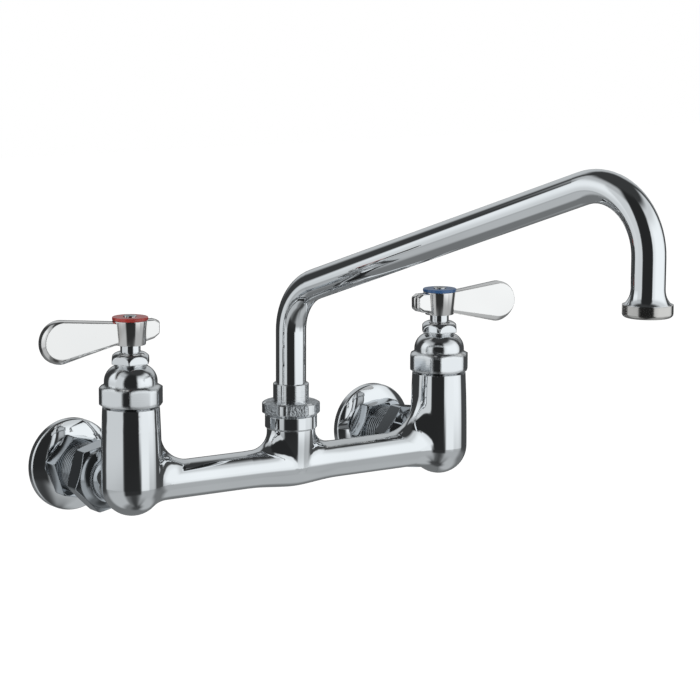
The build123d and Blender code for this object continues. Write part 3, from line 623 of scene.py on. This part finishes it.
# %% Where the threads go
THREAD_PITCH = INCH / 14
THREAD_RADIUS = 0.0142  # to the triangle's middle
THREAD_HEIGHT = 0.00062
THREAD_STRETCH = 1.72
THREAD_ROOM = 0.0005  # left free at each end when the turns are counted
VALVE_TO_HEXAGON = 0.0528
nut_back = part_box("hot_coupling_nut")[1].y
hexagon_front = VALVE_Y + VALVE_TO_HEXAGON
turns = int((hexagon_front - nut_back - 2 * THREAD_ROOM) / THREAD_PITCH)
print("room for", turns, "turns between", round(nut_back, 4), "and", round(hexagon_front, 4))

# %% Wind the hot side's thread
STEPS_PER_TURN = 60
bpy.ops.object.select_all(action="DESELECT")
bpy.ops.mesh.primitive_circle_add(
    vertices=3, radius=THREAD_HEIGHT,
    location=(VALVE_X["hot"], nut_back + THREAD_ROOM + THREAD_PITCH / 2, 0),
)
hot_thread = bpy.context.object
hot_thread.name = "hot_union_thread"
bpy.ops.object.mode_set(mode="EDIT")
bpy.ops.mesh.select_all(action="SELECT")
middle = hot_thread.matrix_world.translation
bpy.ops.transform.rotate(value=pi / 2, orient_axis="Z", center_override=middle)
bpy.ops.transform.resize(value=(1.0, THREAD_STRETCH, 1.0), center_override=middle)
bpy.ops.transform.translate(value=(THREAD_RADIUS, 0, 0))
bpy.ops.object.mode_set(mode="OBJECT")
finish_modifier(
    hot_thread, "SCREW", axis="Y", angle=2 * pi, screw_offset=THREAD_PITCH,
    iterations=turns, steps=STEPS_PER_TURN, render_steps=STEPS_PER_TURN,
)
bpy.ops.object.mode_set(mode="EDIT")
bpy.ops.mesh.select_all(action="DESELECT")
bpy.ops.mesh.select_non_manifold()
bpy.ops.mesh.fill()
bpy.ops.object.mode_set(mode="OBJECT")
outward_normals(hot_thread)
keep_place_in_mesh(hot_thread)
# The thread's dark plate carries painted shade.
hot_thread.data.materials.append(finish["thread_chrome"])
print("hot thread:", len(hot_thread.data.polygons), "faces, y", reach(hot_thread, "y"))

# %% Copy it to the cold side
cold_thread = hot_thread.copy()
cold_thread.data = hot_thread.data.copy()
cold_thread.name = "cold_union_thread"
bpy.context.scene.collection.objects.link(cold_thread)
cold_thread.location.x = VALVE_X["cold"] - VALVE_X["hot"]
keep_place_in_mesh(cold_thread)
for thread, side in ((hot_thread, "hot"), (cold_thread, "cold")):
    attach(thread, "body")
    print(side, "thread x from its valve", reach(thread, "x", VALVE_X[side]))

# %% [markdown]
# ## The levers
# A lever is one casting: a tapered hub, a paddle that widens to a round end, and a short tail on the other
# side. What makes it look cast and not cut is its rim. From the back it comes forward as a straight wall,
# then rolls over towards the front and stops at a crease, inside which the face is flat. The workshop's
# levers have an even rounding all round, so both are modelled again here and take their place.
#
# Shaping by hand is a matter of picking a few corners, edges or faces and moving them. The helpers below
# pick them by a rule, so that each step says what it works on.

# %% Helpers that pick part of a piece
SAME_WAY = 0.999


def pick(piece, wanted, kind="verts"):
    bpy.context.view_layer.objects.active = piece
    if piece.mode != "EDIT":
        bpy.ops.object.select_all(action="DESELECT")
        piece.select_set(True)
        bpy.ops.object.mode_set(mode="EDIT")
    bpy.ops.mesh.select_mode(type={"verts": "VERT", "edges": "EDGE", "faces": "FACE"}[kind])
    bpy.ops.mesh.select_all(action="DESELECT")
    mesh = bmesh.from_edit_mesh(piece.data)
    for element in getattr(mesh, kind):
        if wanted(element):
            element.select = True
    mesh.select_flush(True)
    bmesh.update_edit_mesh(piece.data)


def looks_along(axis):
    way = Vector(axis)
    return lambda face: face.normal.dot(way) > SAME_WAY


print("picking helpers ready")

# %% [markdown]
# ### The blank of an arm
# Paddle and tail start alike, as a flat cylinder with its axis square to the wall: many-sided for the
# paddle's round end, and eight-sided, with flats to the sides, for the tail's clipped corners. Each arm's
# measures are kept together, because every later step needs some of them. The hot lever's paddle points to
# -X and its tail to +X, so the hub lies towards +X from the paddle and towards -X from the tail.

# %% The two arms' measures
ARM_BACK = 0.0034  # how far the arms' back lies behind the valve's axis
PADDLE = {
    "sides": 96, "end_x": -0.0415, "end_z": 0.0808, "half_wide": 0.0117, "half_high": 0.0117,
    "wall": 0.0036, "roll": 0.0032, "top_slope": 5.4, "low_slope": 12.3, "toward_hub": 1,
}
TAIL = {
    "sides": 8, "end_x": 0.0130, "end_z": 0.0839, "half_wide": 0.0048, "half_high": 0.0052,
    "wall": 0.0046, "roll": 0.0018, "top_slope": 1.0, "low_slope": 1.0, "toward_hub": -1,
}
HUB_X = VALVE_X["hot"]
for arm in (PADDLE, TAIL):
    print(arm["sides"], "sides,", round((arm["wall"] + arm["roll"]) / MILLIMETRE, 2), "mm thick in the end")

# %% Lay the blank
def arm_blank(name, arm, flats_outside=False):
    bpy.ops.object.select_all(action="DESELECT")
    bpy.ops.mesh.primitive_cylinder_add(
        vertices=arm["sides"], radius=1.0, depth=arm["wall"], rotation=(pi / 2, 0, 0),
    )
    piece = bpy.context.object
    piece.name = name
    half_side = pi / arm["sides"]
    piece.rotation_euler.y = half_side if flats_outside else 0
    spread = 1 / cos(half_side) if flats_outside else 1
    piece.scale = (arm["half_wide"] * spread, arm["half_high"] * spread, 1)
    piece.location = (HUB_X + arm["end_x"], VALVE_Y + ARM_BACK - arm["wall"] / 2, arm["end_z"])
    keep_place_in_mesh(piece)
    return piece


paddle = arm_blank("paddle", PADDLE)
tail = arm_blank("tail", TAIL, flats_outside=True)
print("blanks:", len(paddle.data.vertices), "and", len(tail.data.vertices), "corners")

# %% [markdown]
# ### From the blank to the outline
# The half of the blank that looks at the hub is flattened, shrunk to the height of the root and pulled into
# the hub's wall. It is parted from the rest where the round end leans as much as the straight edge that
# starts there, so the upper and lower edges run on from the round end without a kink. The tail ends in a
# flat nose that is taller than the side of an octagon, so its outer end is stretched first, and its corners
# are rounded afterwards.

# %% Pull the inner half into the hub
ROOT_LOW, ROOT_TOP = 0.0768, 0.0891
ROOT_X = 0.0062  # from the hub's axis, inside its wall
SLOPE_MARGIN = 0.5  # degrees


def pull_into_hub(piece, arm):
    end_x = HUB_X + arm["end_x"]

    def faces_hub(vert):
        along = (vert.co.x - end_x) / arm["half_wide"] * arm["toward_hub"]
        up = (vert.co.z - arm["end_z"]) / arm["half_high"]
        lowest = arm["low_slope"] + SLOPE_MARGIN - 90
        highest = 90 - arm["top_slope"] - SLOPE_MARGIN
        return lowest < degrees(atan2(up, along)) < highest

    pick(piece, faces_hub)
    heights = [vert.co.z for vert in bmesh.from_edit_mesh(piece.data).verts if vert.select]
    squeeze = (ROOT_TOP - ROOT_LOW) / (max(heights) - min(heights))
    middle = (max(heights) + min(heights)) / 2
    root_x = HUB_X - arm["toward_hub"] * ROOT_X
    bpy.ops.transform.resize(value=(0, 1, squeeze), center_override=(root_x, VALVE_Y, middle))
    bpy.ops.transform.translate(value=(0, 0, (ROOT_LOW + ROOT_TOP) / 2 - middle))
    bpy.ops.mesh.dissolve_limited(angle_limit=radians(1))


pull_into_hub(paddle, PADDLE)
bpy.ops.object.mode_set(mode="OBJECT")
print("paddle x from the valve", reach(paddle, "x", HUB_X), "z", reach(paddle, "z"))

# %% The tail's clipped end
TAIL_STRETCH = 1.53
TAIL_CORNER = 0.0012
NOSE_SHARE = 0.9
tail_middle = HUB_X + TAIL["end_x"]
pick(tail, lambda vert: vert.co.x - tail_middle > TAIL["half_wide"] * NOSE_SHARE)
bpy.ops.transform.resize(
    value=(1, 1, TAIL_STRETCH), center_override=(tail_middle, VALVE_Y, TAIL["end_z"]),
)
pull_into_hub(tail, TAIL)


def outer_corner(edge):
    one, two = (vert.co for vert in edge.verts)
    return min(one.x, two.x) > tail_middle and abs(one.y - two.y) > MILLIMETRE


pick(tail, outer_corner, "edges")
bpy.ops.mesh.bevel(offset=TAIL_CORNER, segments=3, affect="EDGES")
bpy.ops.object.mode_set(mode="OBJECT")
print("tail x from the valve", reach(tail, "x", HUB_X), "z", reach(tail, "z"))

# %% [markdown]
# ### The rolled rim
# The front is inset again and again. Each time it goes a little further in and a little less far forward,
# along an arc that has turned by the crease's lean when it stops. Below the middle the face also shrinks a
# little towards it, so that the roll is wider along the lower edge, as on the real lever. The back keeps
# its flat face and only has its edge eased. The paddle's front and back are then leant a little towards each
# other from the tip on, because the real one is thinner at the hub.

# %% Roll the rim over to its crease
ROLL_STEPS = 8
CREASE_LEAN = radians(38)
LOW_SHRINK = 0.17
SHRINK_BEND = 1.3
BACK_EASE = 0.0007


def roll_rim(piece, arm):
    front = VALVE_Y + ARM_BACK - arm["wall"]
    sweep = arm["roll"] / sin(CREASE_LEAN)
    middle = (HUB_X, VALVE_Y, arm["end_z"])
    shrink = 1
    for step in range(ROLL_STEPS):
        first = CREASE_LEAN * step / ROLL_STEPS
        last = CREASE_LEAN * (step + 1) / ROLL_STEPS
        forward = sweep * (sin(last) - sin(first))
        front -= forward
        pick(piece, looks_along((0, -1, 0)), "faces")
        bpy.ops.mesh.inset(thickness=sweep * (cos(first) - cos(last)), depth=forward)
        wanted = 1 - LOW_SHRINK * ((step + 1) / ROLL_STEPS) ** SHRINK_BEND
        pick(piece, lambda vert: vert.co.y < front + NEARLY and vert.co.z < arm["end_z"])
        bpy.ops.transform.resize(value=(1, 1, wanted / shrink), center_override=middle)
        shrink = wanted
    back = VALVE_Y + ARM_BACK - 10 * NEARLY
    pick(piece, lambda edge: all(vert.co.y > back for vert in edge.verts), "edges")
    bpy.ops.mesh.bevel(offset=BACK_EASE, segments=3, affect="EDGES")
    bpy.ops.object.mode_set(mode="OBJECT")


roll_rim(paddle, PADDLE)
roll_rim(tail, TAIL)
for piece in (paddle, tail):
    print(piece.name, len(piece.data.polygons), "faces, y from the valve", reach(piece, "y", VALVE_Y))

# %% Thin the paddle towards the hub
PADDLE_LEAN = radians(1.6)
FRONT_STARTS = VALVE_Y + MILLIMETRE
tip = (HUB_X + PADDLE["end_x"] - PADDLE["half_wide"], VALVE_Y, PADDLE["end_z"])
pick(paddle, lambda vert: vert.co.y < FRONT_STARTS)
bpy.ops.transform.rotate(value=-PADDLE_LEAN, orient_axis="Z", center_override=tip)
pick(paddle, lambda vert: vert.co.y >= FRONT_STARTS)
bpy.ops.transform.rotate(value=PADDLE_LEAN, orient_axis="Z", center_override=tip)
bpy.ops.object.mode_set(mode="OBJECT")
root_starts = HUB_X - ROOT_X - MILLIMETRE
at_root = [vert.co.y for vert in paddle.data.vertices if vert.co.x > root_starts]
root_thickness = (max(at_root) - min(at_root)) / MILLIMETRE
print("paddle y", reach(paddle, "y", VALVE_Y), "and at the hub", round(root_thickness, 2), "thick")

# %% [markdown]
# ### The hub
# The hub is a cone, wider at the top, with a socket from below that the valve's stem goes into. The arms
# are joined to it as one skin, because the real lever is one casting. Its shading is smooth except where two
# faces meet at more than 26 degrees, so arms and hub still meet in a crisp line.

# %% Turn the hub
HUB_LOW, HUB_TOP = 0.0763, 0.0894
HUB_LOW_RADIUS, HUB_TOP_RADIUS = 0.0082, 0.0094
SOCKET_RADIUS, SOCKET_DEPTH = 0.0055, 0.0103
HUB_EASE = 0.0004
bpy.ops.object.select_all(action="DESELECT")
bpy.ops.mesh.primitive_cone_add(
    vertices=96, radius1=HUB_LOW_RADIUS, radius2=HUB_TOP_RADIUS, depth=HUB_TOP - HUB_LOW,
    location=(HUB_X, VALVE_Y, (HUB_TOP + HUB_LOW) / 2),
)
hot_lever = bpy.context.object
hot_lever.name = "hot_lever"
keep_place_in_mesh(hot_lever)
pick(hot_lever, looks_along((0, 0, -1)), "faces")
bpy.ops.mesh.inset(thickness=HUB_LOW_RADIUS - SOCKET_RADIUS)
bpy.ops.mesh.extrude_region_move(TRANSFORM_OT_translate={"value": (0, 0, SOCKET_DEPTH)})


def on_low_rim(vert):
    from_axis = hypot(vert.co.x - HUB_X, vert.co.y - VALVE_Y)
    return abs(vert.co.z - HUB_LOW) < NEARLY and from_axis > HUB_LOW_RADIUS - 10 * NEARLY


pick(hot_lever, lambda edge: all(on_low_rim(vert) for vert in edge.verts), "edges")
bpy.ops.mesh.bevel(offset=HUB_EASE, segments=3, affect="EDGES")
bpy.ops.object.mode_set(mode="OBJECT")
print("hub z", reach(hot_lever, "z"))

# %% Join the arms to it
SMOOTH_UP_TO = radians(26)
for piece in (paddle, tail):
    outward_normals(piece)
    finish_modifier(hot_lever, "BOOLEAN", object=piece, operation="UNION", solver="EXACT")
    bpy.data.objects.remove(piece)
bpy.ops.object.select_all(action="DESELECT")
hot_lever.select_set(True)
outward_normals(hot_lever)
bpy.ops.object.shade_smooth_by_angle(angle=SMOOTH_UP_TO)
hot_lever.data.materials.clear()
hot_lever.data.materials.append(finish["lever_chrome"])
print("lever:", len(hot_lever.data.polygons), "faces,", len(hot_lever.data.vertices), "corners")

# %% The cold lever is the hot one's mirror image
cold_lever = hot_lever.copy()
cold_lever.data = hot_lever.data.copy()
cold_lever.name = "cold_lever"
bpy.context.scene.collection.objects.link(cold_lever)
cold_lever.scale.x = -1
keep_place_in_mesh(cold_lever)
outward_normals(cold_lever)
for side, lever in (("hot", hot_lever), ("cold", cold_lever)):
    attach(lever, f"{side}_valve")
    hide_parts(f"{side}_handle")
    ends = [round(corner.x / MILLIMETRE, 2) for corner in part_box(f"{side}_handle")]
    print(side, "lever x", reach(lever, "x"), "and the workshop's", ends)

# %% [markdown]
# ## The end


print("the faucet is dressed")
